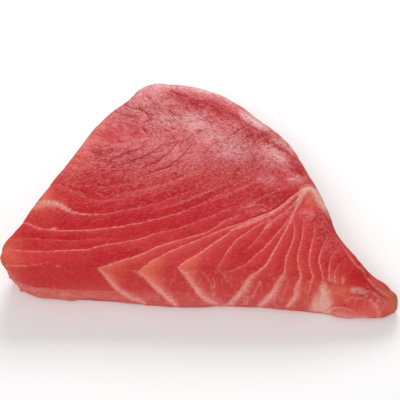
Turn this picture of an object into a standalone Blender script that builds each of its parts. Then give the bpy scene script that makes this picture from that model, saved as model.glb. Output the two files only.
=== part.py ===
"""A raw tuna steak: one thick slice of loin, flat above and below, drawn out into a tail at its right.

The piece is a block raised from its plan outline, then shaped: the walls lean, the foot tucks under,
the upper edge rolls over and the tail falls away. Design sizes are in millimetres; the model itself
is in metres with +Z up, and rests on Z = 0 with its origin under the middle of its box.
"""

import bmesh
import bpy
from mathutils import Vector
from mathutils.kdtree import KDTree

MM = 0.001

# Driving sizes, in millimetres
THICKNESS = 23.0
CROWN = 0.8
CROWN_REACH = 75.0
FOOT_TUCK = 2.2
FOOT_TUCK_SHARE = 0.24
WALL_REACH = 12.0
ROLL_REACH = 1.7
ROLL_MARGIN = 1.5

# The tail sinks along a line from where it leaves the loin to its tip.
TAIL_ROOT = (46.0, -22.0)
TAIL_TIP = (80.0, -54.0)
TAIL_FALL = 7.0

# The plan at its widest, anticlockwise from the left tip: x, y, how deep the upper edge rolls over,
# and how far the wall leans, positive where the rim stands inside the foot.
OUTLINE = (
    (-80.6, -40.2, 0.8, -4.2),
    (-77.2, -46.8, 0.8, -4.4),
    (-70.0, -48.8, 0.8, -1.6),
    (-58.0, -49.8, 0.8, 1.6),
    (-36.0, -51.2, 0.8, 3.0),
    (-14.0, -53.9, 0.8, 5.6),
    (18.0, -53.9, 0.8, 4.6),
    (42.0, -56.1, 1.2, 4.4),
    (57.0, -57.7, 3.2, 3.4),
    (70.0, -58.1, 5.4, 1.8),
    (77.5, -56.6, 6.0, 1.0),
    (80.6, -53.0, 5.4, 0.6),
    (76.8, -47.6, 4.0, 0.6),
    (69.4, -43.0, 3.4, 0.6),
    (63.6, -36.3, 3.0, 0.6),
    (57.1, -27.6, 2.6, 0.6),
    (54.3, -17.2, 2.2, 0.6),
    (50.3, -4.4, 2.6, 0.6),
    (45.9, 7.9, 3.2, 0.6),
    (39.9, 22.2, 3.6, 0.6),
    (30.8, 34.4, 3.8, 0.6),
    (15.8, 48.5, 3.6, 0.6),
    (6.3, 54.1, 2.8, 0.6),
    (-12.0, 58.2, 1.8, 0.6),
    (-24.4, 57.4, 1.2, 0.6),
    (-33.8, 46.2, 0.9, 0.4),
    (-43.8, 34.6, 0.8, 0.4),
    (-56.0, 11.4, 0.8, 0.4),
    (-65.0, -5.4, 0.8, 0.4),
    (-73.2, -23.8, 0.8, -0.8),
)

# Fineness of the working mesh and of the finished solid
EDGE_SAMPLES = 24
WORK_VOXEL = 1.1
SMOOTH_STEPS = 3
SMOOTH_FACTOR = 0.5
KEPT_SHARE = 0.12
MERGE = 0.00001

# Finish: linear colour and roughness of the wet flesh
FLESH_COLOUR = (0.50, 0.055, 0.047, 1.0)
FLESH_ROUGHNESS = 0.35


def clear_scene():
    for item in list(bpy.data.objects):
        bpy.data.objects.remove(item, do_unlink=True)


def make_collection(name):
    collection = bpy.data.collections.new(name)
    bpy.context.scene.collection.children.link(collection)
    return collection


def smooth_share(value):
    value = min(max(value, 0.0), 1.0)
    return value * value * (3.0 - 2.0 * value)


def flesh_material():
    material = bpy.data.materials.new("flesh")
    material.use_nodes = True
    shader = material.node_tree.nodes["Principled BSDF"]
    shader.inputs["Base Color"].default_value = FLESH_COLOUR
    shader.inputs["Roughness"].default_value = FLESH_ROUGHNESS
    shader.inputs["Metallic"].default_value = 0.0
    return material


def outline_curve():
    """The closed plan outline, filled and raised to a block that stands on Z = 0."""
    curve = bpy.data.curves.new("outline", "CURVE")
    curve.dimensions = "2D"
    curve.fill_mode = "BOTH"
    curve.resolution_u = EDGE_SAMPLES // 3
    curve.extrude = THICKNESS * MM / 2
    spline = curve.splines.new("BEZIER")
    spline.bezier_points.add(len(OUTLINE) - 1)
    spline.use_cyclic_u = True
    for point, (x, y, _roll, _lean) in zip(spline.bezier_points, OUTLINE):
        point.co = (x * MM, y * MM, 0.0)
        point.handle_left_type = "AUTO"
        point.handle_right_type = "AUTO"
    block = bpy.data.objects.new("outline", curve)
    block.location.z = THICKNESS * MM / 2
    return block


def solid_mesh(source, collection, name):
    """A welded mesh object from a curve object, which it replaces."""
    collection.objects.link(source)
    bpy.context.view_layer.update()
    evaluated = source.evaluated_get(bpy.context.evaluated_depsgraph_get())
    mesh = bpy.data.meshes.new_from_object(evaluated)
    mesh.transform(source.matrix_world)
    bpy.data.objects.remove(source, do_unlink=True)
    form = bmesh.new()
    form.from_mesh(mesh)
    bmesh.ops.remove_doubles(form, verts=form.verts, dist=MERGE)
    bmesh.ops.recalc_face_normals(form, faces=form.faces)
    form.to_mesh(mesh)
    form.free()
    mesh.name = name
    solid = bpy.data.objects.new(name, mesh)
    collection.objects.link(solid)
    return solid


def apply_modifiers(solid):
    bpy.context.view_layer.update()
    evaluated = solid.evaluated_get(bpy.context.evaluated_depsgraph_get())
    mesh = bpy.data.meshes.new_from_object(evaluated)
    solid.modifiers.clear()
    solid.data = mesh
    mesh.name = solid.name


def even_mesh(solid):
    remesh = solid.modifiers.new("even", "REMESH")
    remesh.mode = "VOXEL"
    remesh.voxel_size = WORK_VOXEL * MM
    remesh.adaptivity = 0.0
    apply_modifiers(solid)


def smooth_value(before, start, end, after, share):
    """A smooth value between two anchors that takes its slopes from their neighbours."""
    slope_start = (end - before) / 2
    slope_end = (after - start) / 2
    square = share * share
    cube = square * share
    return (
        (2 * cube - 3 * square + 1) * start
        + (cube - 2 * square + share) * slope_start
        + (3 * square - 2 * cube) * end
        + (cube - square) * slope_end
    )


class Edge:
    """The outline as closely spaced stations, each with its outward direction, roll and lean."""

    def __init__(self):
        self.stations = []
        count = len(OUTLINE)
        for index in range(count):
            rows = [OUTLINE[(index + step) % count] for step in (-1, 0, 1, 2)]
            for sample in range(EDGE_SAMPLES):
                share = sample / EDGE_SAMPLES
                self.stations.append([smooth_value(*column, share) for column in zip(*rows)])
        self.tree = KDTree(len(self.stations))
        for index, (x, y, _roll, _lean) in enumerate(self.stations):
            self.tree.insert((x, y, 0.0), index)
        self.tree.balance()

    def outward(self, index):
        ahead = self.stations[(index + 1) % len(self.stations)]
        behind = self.stations[index - 1]
        along = Vector((ahead[0] - behind[0], ahead[1] - behind[1]))
        return Vector((along.y, -along.x)).normalized()

    def nearest(self, x, y):
        _place, index, distance = self.tree.find((x, y, 0.0))
        _x, _y, roll, lean = self.stations[index]
        return self.outward(index), distance, roll, lean


def tail_share(x, y):
    """0 on the loin, 1 at the tail's tip."""
    along_x = TAIL_TIP[0] - TAIL_ROOT[0]
    along_y = TAIL_TIP[1] - TAIL_ROOT[1]
    run = (x - TAIL_ROOT[0]) * along_x + (y - TAIL_ROOT[1]) * along_y
    return smooth_share(run / (along_x ** 2 + along_y ** 2))


def upper_height(x, y, distance, roll):
    """Height of the upper face: crowned, rolled over at its edge and falling along the tail."""
    crown = CROWN * (1.0 - (x * x + y * y) / CROWN_REACH ** 2)
    reach = ROLL_REACH * roll + ROLL_MARGIN
    edge_share = max(0.0, 1.0 - distance / reach)
    return THICKNESS - CROWN + crown - roll * edge_share ** 2 - TAIL_FALL * tail_share(x, y)


def wall_inset(share, lean):
    """How far the wall stands inside the outline at a share of the height."""
    if lean > 0.0:
        leaning = lean * share
    else:
        leaning = -lean * (1.0 - share)
    tucked = max(0.0, 1.0 - share / FOOT_TUCK_SHARE)
    return leaning + FOOT_TUCK * tucked ** 2


def shape_block(form):
    edge = Edge()
    for vertex in form.verts:
        x, y, z = vertex.co / MM
        share = min(max(z / THICKNESS, 0.0), 1.0)
        outward, distance, roll, lean = edge.nearest(x, y)
        nearness = max(0.0, 1.0 - distance / WALL_REACH)
        inset = wall_inset(share, lean) * nearness ** 2
        height = share * upper_height(x, y, distance, roll)
        vertex.co = Vector((x - outward.x * inset, y - outward.y * inset, height)) * MM


def soften(form):
    for _step in range(SMOOTH_STEPS):
        bmesh.ops.smooth_vert(
            form, verts=form.verts, factor=SMOOTH_FACTOR, use_axis_x=True, use_axis_y=True, use_axis_z=True
        )


def centre_on_origin(form):
    low = [min(vertex.co[axis] for vertex in form.verts) for axis in range(3)]
    high = [max(vertex.co[axis] for vertex in form.verts) for axis in range(3)]
    shift = Vector((-(low[0] + high[0]) / 2, -(low[1] + high[1]) / 2, -low[2]))
    bmesh.ops.translate(form, verts=form.verts, vec=shift)


def thin_out(solid):
    """Keeps the faces where the form curves and drops them where it is flat."""
    thinned = solid.modifiers.new("thinned", "DECIMATE")
    thinned.decimate_type = "COLLAPSE"
    thinned.ratio = KEPT_SHARE


def build_steak(collection):
    steak = solid_mesh(outline_curve(), collection, "steak")
    even_mesh(steak)
    form = bmesh.new()
    form.from_mesh(steak.data)
    shape_block(form)
    soften(form)
    centre_on_origin(form)
    bmesh.ops.triangulate(form, faces=form.faces)
    form.to_mesh(steak.data)
    form.free()
    thin_out(steak)
    apply_modifiers(steak)
    steak.data.materials.clear()
    steak.data.materials.append(flesh_material())
    steak.data.shade_smooth()
    return steak


def main():
    clear_scene()
    build_steak(make_collection("raw_tuna_steak"))


main()
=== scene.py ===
import math
import random
from collections import namedtuple
from contextlib import contextmanager

import bmesh
import bpy
import numpy as np
from bpy.props import FloatProperty, FloatVectorProperty, IntProperty, PointerProperty
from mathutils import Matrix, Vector, noise
from mathutils.bvhtree import BVHTree
from mathutils.kdtree import KDTree


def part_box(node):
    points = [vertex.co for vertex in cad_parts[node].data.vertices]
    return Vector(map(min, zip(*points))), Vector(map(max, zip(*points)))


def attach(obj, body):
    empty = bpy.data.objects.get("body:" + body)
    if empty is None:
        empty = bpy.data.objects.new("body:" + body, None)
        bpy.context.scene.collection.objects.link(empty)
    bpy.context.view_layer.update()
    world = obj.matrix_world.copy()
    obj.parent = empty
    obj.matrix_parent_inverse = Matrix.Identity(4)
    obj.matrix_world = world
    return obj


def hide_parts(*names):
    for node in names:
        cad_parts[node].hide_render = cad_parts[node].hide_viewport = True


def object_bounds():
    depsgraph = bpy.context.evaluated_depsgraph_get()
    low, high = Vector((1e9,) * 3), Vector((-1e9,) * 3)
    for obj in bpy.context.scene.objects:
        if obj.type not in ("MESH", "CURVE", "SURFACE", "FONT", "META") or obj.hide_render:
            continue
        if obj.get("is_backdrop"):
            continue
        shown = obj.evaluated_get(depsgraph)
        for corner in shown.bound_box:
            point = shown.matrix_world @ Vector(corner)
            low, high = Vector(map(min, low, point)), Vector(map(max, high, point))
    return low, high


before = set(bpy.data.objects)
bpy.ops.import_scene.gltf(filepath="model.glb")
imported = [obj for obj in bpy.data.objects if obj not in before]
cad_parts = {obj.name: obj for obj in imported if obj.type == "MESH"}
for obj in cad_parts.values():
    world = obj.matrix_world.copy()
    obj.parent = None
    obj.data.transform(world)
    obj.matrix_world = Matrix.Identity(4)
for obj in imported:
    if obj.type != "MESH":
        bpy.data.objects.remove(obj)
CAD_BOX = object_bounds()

bl_info = {
    "name": "Raw Tuna Steak",
    "version": (1, 0, 0),
    "blender": (4, 5, 0),
    "location": "3D View > Sidebar > Tuna Steak",
    "description": "Builds the flesh of a raw tuna steak and the stage it lies on",
    "category": "Object",
}

MM = 0.001
NODE = "steak"
BODY = "root"
WELD = 0.000001
SMOOTH_FACTOR = 0.5

LOW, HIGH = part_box(NODE)

# All points below are millimetres on the rolled-out surface: the upper face as seen from above, and past
# its rim the wall folded out flat, so that a point below the rim lies as far outside the outline.

# A seam of connective tissue between two flakes. It runs from the foot of the wall over the rim and
# inwards, and has the next flake on its right. Half widths and strengths are spread evenly along it.
# glow is how much the flake on its right warms beside it. band is the width and strength of a pale stripe
# of fat along its wall part, widest about halfway down and strongest at the foot. shift moves the whole
# of its course on the underside.
Seam = namedtuple("Seam", "widths strengths glow band wall upper shift", defaults=(None,))

SEAMS = (
    Seam((0.3, 0.25), (0.45, 0.25), 0.1, None, (), ((-86, 5), (-65, -5), (-60.6, -4.9), (-55.6, -7.4),
        (-51, -10.3), (-44.8, -13.4), (-38.5, -13.8), (-32.2, -13), (-26, -9.8), (-19, -7.4),
        (-10.5, -3.4), (-1, 2.5))),
    Seam((0.3, 0.25), (0, 0.35, 0), 0.05, None, (), ((-52, -5), (-44, -6.6), (-38.9, -6.8), (-32.6, -5.4),
        (-24, -4.4), (-15, -1))),
    Seam((0.3, 0.28, 0.25), (0.7, 0.7, 0.35, 0.15), 0.15, None, (), ((-91, -6), (-70.5, -15.6),
        (-61, -16.3), (-55, -19.2), (-48, -21.2), (-39, -21.2), (-25, -17.8), (-15, -14.4), (-6, -10.2),
        (4, -4.5), (13, 2.5))),
    Seam((0.25, 0.25), (0.15, 0.35, 0.1), 0.1, None, (), ((-38.3, -17.3), (-34.2, -15.2), (-30.1, -12.7),
        (-23.8, -10.3), (-16.7, -8.1), (-8, -3.8))),
    Seam((0.3, 0.3, 0.25), (0.8, 0.85, 0.2), 0.2, None, (), ((-92.5, -15), (-72, -25), (-66, -28.3),
        (-56, -29.6), (-44, -29.3), (-30, -27.3), (-18, -24.2), (-7.5, -20.4), (4, -14), (11, -8.8),
        (18, -2.5))),
    Seam((0.25, 0.25), (0, 0.35, 0.3, 0), 0.05, None, (), ((-76, -33.2), (-66, -34), (-56, -34.9),
        (-46, -34.6), (-38, -33.4))),
    Seam((0.22, 0.28, 0.22), (0.5, 0.8, 0.25), 0.2, None, (), ((-102, -41.5), (-79, -39.2), (-66, -40.2),
        (-54, -39.8), (-45.5, -39.4), (-39, -37.4), (-24, -34.2), (-18, -31.4), (-10, -29.3), (4, -22.8),
        (13, -17.5))),
    Seam((0.35, 0.3, 0.25), (0.8, 0.95, 0.5), 0.9, (1.8, 0.85), ((-24.5, -71), (-28.7, -68.6),
        (-32.1, -65.1), (-35, -60.9), (-37.3, -55.8), (-40.3, -48.3)), ((-33.3, -45.7), (-24, -42.2),
        (-17, -38.2), (-8.5, -34.9), (2.8, -30.6), (9.8, -25.4), (17, -21.5))),
    Seam((0.35, 0.28, 0.3), (0.85, 0.95, 0.8), 1, (2, 0.9), ((-11.6, -72), (-14.4, -67.6), (-17.9, -62.4),
        (-20.6, -57.8), (-22.6, -53.5), (-24.2, -50.4)), ((-21.9, -47.8), (-15.5, -42.9), (-7.2, -37.9),
        (4, -32.3), (15.5, -26.4), (24, -22.3), (31, -18.2), (36, -13.8), (43.6, -7.4))),
    Seam((0.35, 0.32, 0.3), (0.9, 1, 0.8), 1, (1.8, 0.9), ((5.8, -71.5), (2.9, -69), (-0.4, -65),
        (-2.7, -60), (-5.2, -54.8), (-8.6, -48.5)), ((-5.8, -45.6), (1.6, -39.9), (9.7, -32.9),
        (15.4, -28.7), (23.3, -25.1), (31, -19.9), (37, -14.6), (42.5, -9))),
    Seam((0.22, 0.28, 0.25), (0.3, 0.8, 0.5), 0.35, None, ((10.5, -57), (8.9, -51.8), (6.6, -48.6)),
        ((10, -42.9), (12.4, -38.2), (15.7, -33.6), (19.4, -30.8), (23.6, -27.1), (28.5, -23.6))),
    Seam((0.22, 0.22), (0.3, 0.6, 0.5), 0.15, None, (), ((19, -39.4), (24, -32.8), (26.4, -28.7),
        (29.6, -25.5), (33.6, -22.6), (38.2, -19.6))),
    Seam((0.22, 0.27, 0.25), (0.5, 0.8, 0.6), 0.3, None, (), ((11, -50.6), (14.4, -48.9), (19, -45.8),
        (26.1, -38.3), (30.7, -32.2), (35.5, -25.2), (39.5, -19))),
    Seam((0.6, 0.4, 0.32, 0.3, 0.28), (0.8, 1, 1, 0.9), 0.5, (1.7, 0.9), ((10.6, -71), (13.5, -66.4),
        (17, -59.9), (19.6, -53.5), (24.2, -49)), ((26.6, -46.2), (31.8, -36), (34.9, -29.1),
        (37.6, -23.9), (39.4, -18.6), (42.6, -11))),
    Seam((0.6, 0.4, 0.3, 0.28), (0.9, 1, 0.9, 0.5), 0.45, (1.6, 1), ((22.5, -71.4), (25.8, -65.9),
        (28.7, -59.8), (31.2, -53.8), (33.6, -49.4)), ((34.2, -44), (36.6, -37.2), (38.3, -31.2),
        (38.4, -25.2))),
    Seam((0.5, 0.38, 0.28, 0.25), (0.8, 0.9, 0.8, 0.4), 0.45, (1.1, 0.9), ((33.8, -70.6), (36.9, -63.8),
        (37.6, -58.6), (39.9, -50.7)), ((39, -43.7), (40.2, -37), (41.7, -31.1), (42.6, -23.9))),
    Seam((0.35, 0.32, 0.27, 0.22), (0.3, 0.8, 0.8, 0.4), 0.4, None, ((42, -68), (43, -57.6),
        (44.9, -50.2)), ((43.6, -46.5), (43.7, -42.2), (44.8, -37.2), (46, -31.8), (47, -26))),
    Seam((0.3, 0.32, 0.25), (0.5, 0.8, 0.4), 0.3, None, ((49.4, -55), (48.4, -49.8)), ((47.6, -43.2),
        (49.3, -37.6), (51.7, -32))),
    Seam((0.32, 0.25), (0.8, 0.6, 0.3), 0.3, None, (), ((51.6, -52), (51.3, -48), (51.6, -45),
        (52.9, -41.2), (55.2, -37.3))),
    Seam((0.32, 0.2), (0.8, 0.4, 0.1), 0.2, None, (), ((53.9, -52), (53.7, -49), (54.9, -45.4),
        (57.4, -42.1))),
    Seam((0.28, 0.2), (0.6, 0.1), 0.2, None, (), ((56.4, -52.2), (56.8, -48.4))),
)

# How the seams cross the rear edge: how far apart, and their slant down the wall and over the upper face
REAR_FROM = (52.5, -14.0)
REAR_TO = (-47.0, 30.0)
REAR_SPACING = 15.0
REAR_SLANT = 6.0
REAR_REACH = 7.0

# Pale strokes of creamy fat, the last one a painted highlight on the tail: points, half widths and
# strengths.
# One number stands for the whole length.
FAT_AND_HIGHLIGHT_STROKES = (
    (((36.3, -26), (38.2, -21.8), (40.1, -16.9), (41.6, -12.6), (43.6, -9.4)), (0.4, 0.6, 1.3),
      (0.25, 0.6, 1)),
    (((42.6, -8.6), (45.4, -7.6), (48, -8.4), (50.4, -12.6), (52.4, -17), (53.8, -21)), (1.8, 2.6, 3, 2),
      (1, 1, 1, 0.3)),
    (((46.8, -57), (46.5, -61), (46.1, -65.5), (45.2, -71.8)), (1, 1.9, 2.5, 3), (0.1, 0.5, 0.75, 0.9)),
    (((48.8, -52.5), (49, -56), (49.3, -60), (49.2, -65), (48.6, -71.5)), (1.2, 2.3, 2.8, 3.2, 3.8),
      (0.15, 0.6, 0.7, 0.75, 0.85)),
    (((50, -65), (53, -67), (57, -68)), (1.8, 1.2), (0.25, 0.1)),
    (((-66.8, -15.2), (-63.2, -14.9), (-60.2, -15.4), (-57.2, -16.8), (-54.2, -19)), (1.3, 1.2, 0.9),
      (0.3, 0.5, 0.35, 0.4)),
    (((-27.6, -49.6), (-25.2, -50.9), (-23.6, -53.6)), (0.7, 0.6), (0.1, 0.35)),
    # A painted highlight on the rounded top of the tail, in the fat's colour
    (((60.4, -55.8), (62.4, -55), (64.6, -55.6), (66.4, -57.4)), (1.5, 2, 1.4), (0.6, 0.5, 0.3)),
)

# Pink tissue, in the same form: ribbons beside the seams, blurred strands, ridges and threads
TISSUE_STROKES = (
    (((-88, -7), (-68.6, -16.4), (-64.5, -15.7), (-60.8, -15.9), (-57.6, -17.2), (-54, -19.5),
      (-48, -21.4)), (1, 2.4, 2, 1.1, 0.5), (0.1, 0.4, 0.5, 0.5, 0.4)),
    (((12.2, -30.2), (16.3, -27.8), (21.2, -25.2), (26.2, -22.6), (30.9, -19.4), (34.7, -16.1),
      (38.7, -11.9), (42.6, -8.9)), (0.5, 1, 0.9), (0.5, 0.65, 0.65, 0.8)),
    (((2, -68.4), (5, -71), (9, -72.2), (13, -71)), 0.6, (0.7, 0.8, 0.8)),
    (((25.6, -19.2), (28.6, -20), (31.2, -18.4), (34.6, -16.8)), 0.5, 0.4),
    (((27.6, -28.7), (29.4, -25.5), (31.9, -23), (36.2, -19.6), (39.8, -15), (41.8, -12.4)), (0.5, 0.6),
      (0.35, 0.5, 0.8)),
    (((28.6, -25), (27.3, -27.1), (26, -29.7)), (0.7, 0.5), (0.4, 0.3)),
    (((-60.8, -29.3), (-58.8, -28.7)), 0.5, 0.9),
    (((65.8, -57), (67.8, -55.4), (70.1, -56.6), (72, -58.1), (71.3, -59.8)), 0.6, 0.45),
    (((54.1, -30.8), (56.9, -34), (58.6, -37.2), (60.7, -41.1), (63, -43.9), (65.7, -46.1), (67.5, -49.3),
      (69.3, -51.6), (72.4, -54), (77.1, -56.5)), (0.5, 0.55), (0.25, 0.45, 0.5, 0.55)),
    (((68.2, -60.3), (70.8, -62.9), (73.2, -66.4), (74.4, -70.4)), (0.9, 1.1), (0.35, 0.5)),
    (((57.5, -62.1), (60.3, -59.8), (63.7, -59.6), (68.2, -60.3)), 0.8, 0.25),
    (((49.8, -70.8), (51.8, -68.2), (54.6, -66.9), (57.5, -66.6), (60.4, -68)), 0.5, (0.5, 0.3)),
    (((54, -70.8), (60, -71.6), (68, -71.4)), 1.8, 0.6),
    (((2.4, -52.5), (4, -56.5), (4.9, -61.5), (5.4, -67)), 0.32, (0.2, 0.5, 0.4)),
    (((5, -54), (5.8, -58), (5.6, -62.1), (6, -67.6)), 0.32, (0.2, 0.45, 0.4)),
    (((17.8, -65.7), (18.9, -67), (18.5, -69.6), (17.3, -71.2)), 0.45, 0.4),
    (((23.5, -55.9), (21.9, -61.7), (20.4, -67)), 0.5, 0.35),
    (((35, -53), (33.4, -60), (30.4, -70)), 0.4, 0.25),
    (((51, -50.2), (51.5, -52)), 0.42, 0.55),
    (((53.2, -50.6), (53.7, -52.6)), 0.42, 0.5),
    (((57, -50.2), (56.6, -52.2)), 0.45, 0.6),
    (((-58.2, -58), (-58.4, -62), (-58.9, -66)), 0.5, (0, 0.18, 0.12)),
    (((-43.9, 27), (-40.8, 27.6), (-38.6, 26.3), (-36.7, 23.9), (-34.9, 22.9), (-31.3, 21.4)),
      0.35, 0.35),
    (((16.5, -17.4), (19.4, -17.9), (21.5, -16.8), (24, -16.3), (26.5, -16.8), (28.1, -17.8),
      (30.1, -19.4)), 0.35, 0.45),
    (((37.5, -2.8), (40.1, -1.9), (42.3, -0.1)), (0.7, 0.4), 0.6),
    (((26.5, -4.6), (28.2, -2.6), (29.6, -0.9)), 0.6, 0.35),
    (((30.8, -1.8), (32, -3.8), (34.2, -5.8)), 0.5, 0.4),
    (((33, 23), (36, 20.6), (38, 17)), 1.2, 0.6),
    (((-41.8, -15.4), (-32.8, -11.6), (-20.5, -7.6), (-8.2, -2.4), (2, 2.1)), 0.9, (0, 0.22, 0.25, 0)),
    (((-20.5, -20.2), (-8.2, -15.6), (2, -10.2), (10.3, -5.4), (16.4, -1.1)), 0.8, (0, 0.25, 0.28, 0)),
    (((2, -16.6), (12.3, -10.7), (20.5, -5.9), (25.4, -1.7), (28.7, 2.6)), 0.8, (0, 0.25, 0.28, 0)),
    (((14.4, -20.4), (20.5, -16.4), (26.7, -12.4), (34.9, -7), (39.8, -3.3)), 0.7, (0, 0.22, 0.25, 0)),
    (((-32.8, -5.9), (-20.5, -1.7), (-8.2, 3.2), (0, 7.4)), 0.9, (0, 0.22, 0.22, 0)),
)

# Short dashes of fat: x and y of both ends, half width, strength
DASHES = (
    (-66.4, -14.2, -65.8, -15.8, 0.38, 0.8), (-64.7, -13.6, -64.2, -15.9, 0.42, 1),
    (-62.8, -13.9, -62.5, -15.6, 0.4, 0.9), (-60.6, -14.1, -60.1, -16.4, 0.42, 0.9),
    (-59, -14.9, -58.6, -16.3, 0.38, 1), (-57.4, -15.3, -56.8, -17.5, 0.4, 0.8),
    (-55.6, -17, -55.1, -18.3, 0.38, 0.9), (-53.8, -18.4, -53.4, -19.5, 0.38, 0.7),
    (-57, -47.4, -55.2, -47.1, 0.25, 0.5), (-51.6, -20.4, -50.4, -20.6, 0.5, 0.8),
    (-48, -21.4, -47.2, -21.5, 0.5, 0.9), (-45.8, -21.6, -45.1, -21.7, 0.45, 0.8),
    (-43.4, -21.3, -42.9, -21.3, 0.4, 0.7), (-39.4, -21.4, -38.7, -21.3, 0.45, 0.6),
)

# Pale threads and dashes too fine to wander, as strokes like those above
THREADS = (
    (((-78, -46.6), (-74, -46.8), (-69, -47.2)), 0.22, 0.6),
    (((-68.4, -47.2), (-64.5, -46.6), (-60, -45.4)), 0.22, (0.5, 0.2)),
) + tuple((((x, y), (to_x, to_y)), half, strength) for x, y, to_x, to_y, half, strength in DASHES)

# The whitish skin left along the rear rim, partly painted highlight and sheen where the rolled rim and the
# face inside it catch the light, and the palest fat in the front wall by the tail
SKIN_AND_SHEEN_STROKES = (
    (((-29, 47.6), (-24.5, 53.4), (-16, 55.2), (-6, 54), (6, 50.6), (15, 45)), (1.6, 2.8, 2.2),
      (0.35, 0.6, 0.6, 0.5)),
    (((17, 39.5), (20, 36.2), (23, 33.2), (26.4, 30.2), (29.6, 26.6), (31, 24.6)), (1, 2.2, 2.4, 1.6),
      (0.3, 0.9, 1, 0.8, 0.2)),
    (((48.6, -54.5), (48.7, -60), (48.4, -66), (47.6, -72)), (1, 1.8, 2.6), (0.25, 0.4, 0.5)),
    (((31, 21.5), (33, 20.5), (35.5, 18)), 0.9, (0.5, 0.6, 0.2)),
    (((30.6, 15.6), (33, 12.2), (35.6, 8.6)), 2.4, (0.35, 0.5, 0.3)),
)

# Cracks in the surface, each with a line of painted shade and a painted highlight on the lip on its right:
# (points, depth, half width, darkness of the painted shade)
CRACKS = (
    (((-36.2, 44), (-33.8, 42.5), (-31.3, 40.8), (-26.7, 39.2), (-22.6, 36.4), (-18.6, 34.8)),
      0.7, 0.34, 1),
    (((-38.6, 38.8), (-36.9, 37.5), (-35.1, 36.8), (-32.4, 34.9), (-27.9, 33)), 0.5, 0.32, 0.9),
    (((-36.6, 31.8), (-34.4, 30.2), (-31.7, 29.6), (-29.5, 29.3)), 0.4, 0.28, 0.8),
    (((-23.8, 46.2), (-22, 44.3), (-19.2, 42)), 0.4, 0.26, 0.7),
    (((-16, 39.2), (-14.2, 38.5), (-12.4, 36.9), (-10.2, 35.1), (-8, 34.1)), 0.5, 0.3, 0.95),
    (((-26, 30.5), (-23.8, 31.1), (-21.6, 32.3)), 0.3, 0.26, 0.6),
    (((-23.8, 30.5), (-21.1, 29.2), (-18.9, 27.4), (-17.5, 26.1)), 0.3, 0.24, 0.5),
    (((-25.7, 28.4), (-24.1, 26), (-22.9, 24)), 0.7, 0.5, 0.9),
    (((-2.6, 24.3), (0, 25.2), (2.2, 26.1), (4.4, 27.3)), 0.4, 0.28, 0.7),
    (((-13.1, 51.4), (-9.9, 49.7), (-6.3, 48.1), (-4.1, 48.1)), 0.4, 0.4, 0.8),
    (((-4.5, 45.5), (-1.8, 42.9), (0.9, 40.4)), 0.4, 0.4, 0.8),
    (((11.4, 27.3), (15.8, 25.5), (19.8, 28), (21.9, 25), (25.3, 23.2), (30.6, 24)), 0.4, 0.34, 0.75),
    (((20, 21.9), (21.7, 18.9)), 0.3, 0.36, 0.7),
    (((19.6, 37.9), (20.8, 33.6), (22, 30.5), (24.2, 28), (27.2, 26.3), (30.7, 25.4)), 0.4, 0.34, 0.5),
    (((33.8, 24.2), (36.6, 22.8), (38.6, 20), (39.6, 16.5)), 0.6, 0.34, 1),
    (((33, 18.5), (34.6, 16.1), (37.1, 14.7), (39.2, 12), (41.3, 9.5)), 0.4, 0.34, 0.8),
    (((41.5, 7.5), (43, 3.4), (44.4, -0.6)), 0.4, 0.4, 0.7),
    (((12.2, -27.7), (20.5, -23.6), (28.8, -19.4), (33, -16.4), (37, -12.2), (40.1, -9.4), (43.1, -6.9),
      (45.7, -6.4), (50.5, -5.2)), 0.38, 0.28, 1),
    (((41.5, -13.8), (39.8, -15.4), (36.2, -20.2), (31.9, -23.4), (29.4, -25.5)), 0.25, 0.22, 0.5),
    (((66.1, -50.4), (68.1, -52.4), (70.8, -54.9), (73.6, -57), (77.6, -58.3)), 0.5, 0.4, 0.6),
    (((48.2, -71.6), (49.4, -70), (51.8, -67.2), (54.6, -65.8), (57.5, -65.4), (60, -66)),
      0.35, 0.35, 0.3),
    (((-84, -54.5), (-77.4, -57.9), (-71.7, -60), (-65.1, -61.5), (-58.3, -62.7), (-50.9, -63.4),
      (-36, -63.6), (-24, -63.8)), 0.22, 0.3, 0.15),
    (((-51.9, -8.2), (-50.2, -7.9), (-48.4, -9.4), (-46.7, -9.9)), 0.35, 0.45, 0.7),
    (((-57.4, -70.4), (-53.8, -71.2), (-50.2, -70.6)), 0.05, 1, 0.8),
    (((-46, -3.4), (-42, -5.6), (-38, -5.2), (-34, -3.9)), 0.3, 0.32, 0.6),
    (((-50, 8.8), (-47.1, 8.2), (-42.9, 9.9), (-39.6, 12)), 0.35, 0.32, 0.45),
    (((-47.6, 15), (-44.6, 14), (-42, 11.2), (-39.6, 13), (-38.8, 15.2)), 0.35, 0.32, 0.45),
)

# Shingled flake edges on the upper face, stepping down on their right, each with a line of painted shade:
# (points, height, darkness of the painted shade)
STEPS = (
    (((-46, 9), (-38, 9.6), (-31, 13.1), (-27.6, 14.3), (-24.2, 16.6), (-21.8, 20.6)), 0.26, 0.9),
    (((-44, 3), (-36, 5.2), (-29.5, 8.2), (-24.5, 10.7), (-19.4, 14), (-15.9, 18), (-13.8, 21.4)),
      0.3, 0.9),
    (((-34, 1), (-25.9, 3.3), (-21.3, 6.1), (-18, 7.8), (-15.4, 10.7), (-12.9, 13.6), (-10.9, 17.3),
      (-9.4, 20.6)), 0.38, 1),
    (((-34, -5.6), (-25.3, -0.9), (-17.8, 2.7), (-13.6, 4.9), (-10.3, 7.8), (-7.3, 11.2), (-5.4, 14.4),
      (-4, 18), (-2.6, 21.6)), 0.34, 1),
    (((-14.6, -4.8), (-9.2, -1.4), (-4.2, 2.4)), 0.2, 0.4),
    (((5.3, 25.5), (4.8, 28.6), (3.2, 31.6), (1.3, 34.4), (-1.3, 36.9), (-6.4, 37.6)), 0.45, 0.5),
    (((-46, 17), (-40.1, 20), (-35.6, 18.6), (-30.5, 20.4), (-27, 23.6)), 0.3, 0.5),
)

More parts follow.
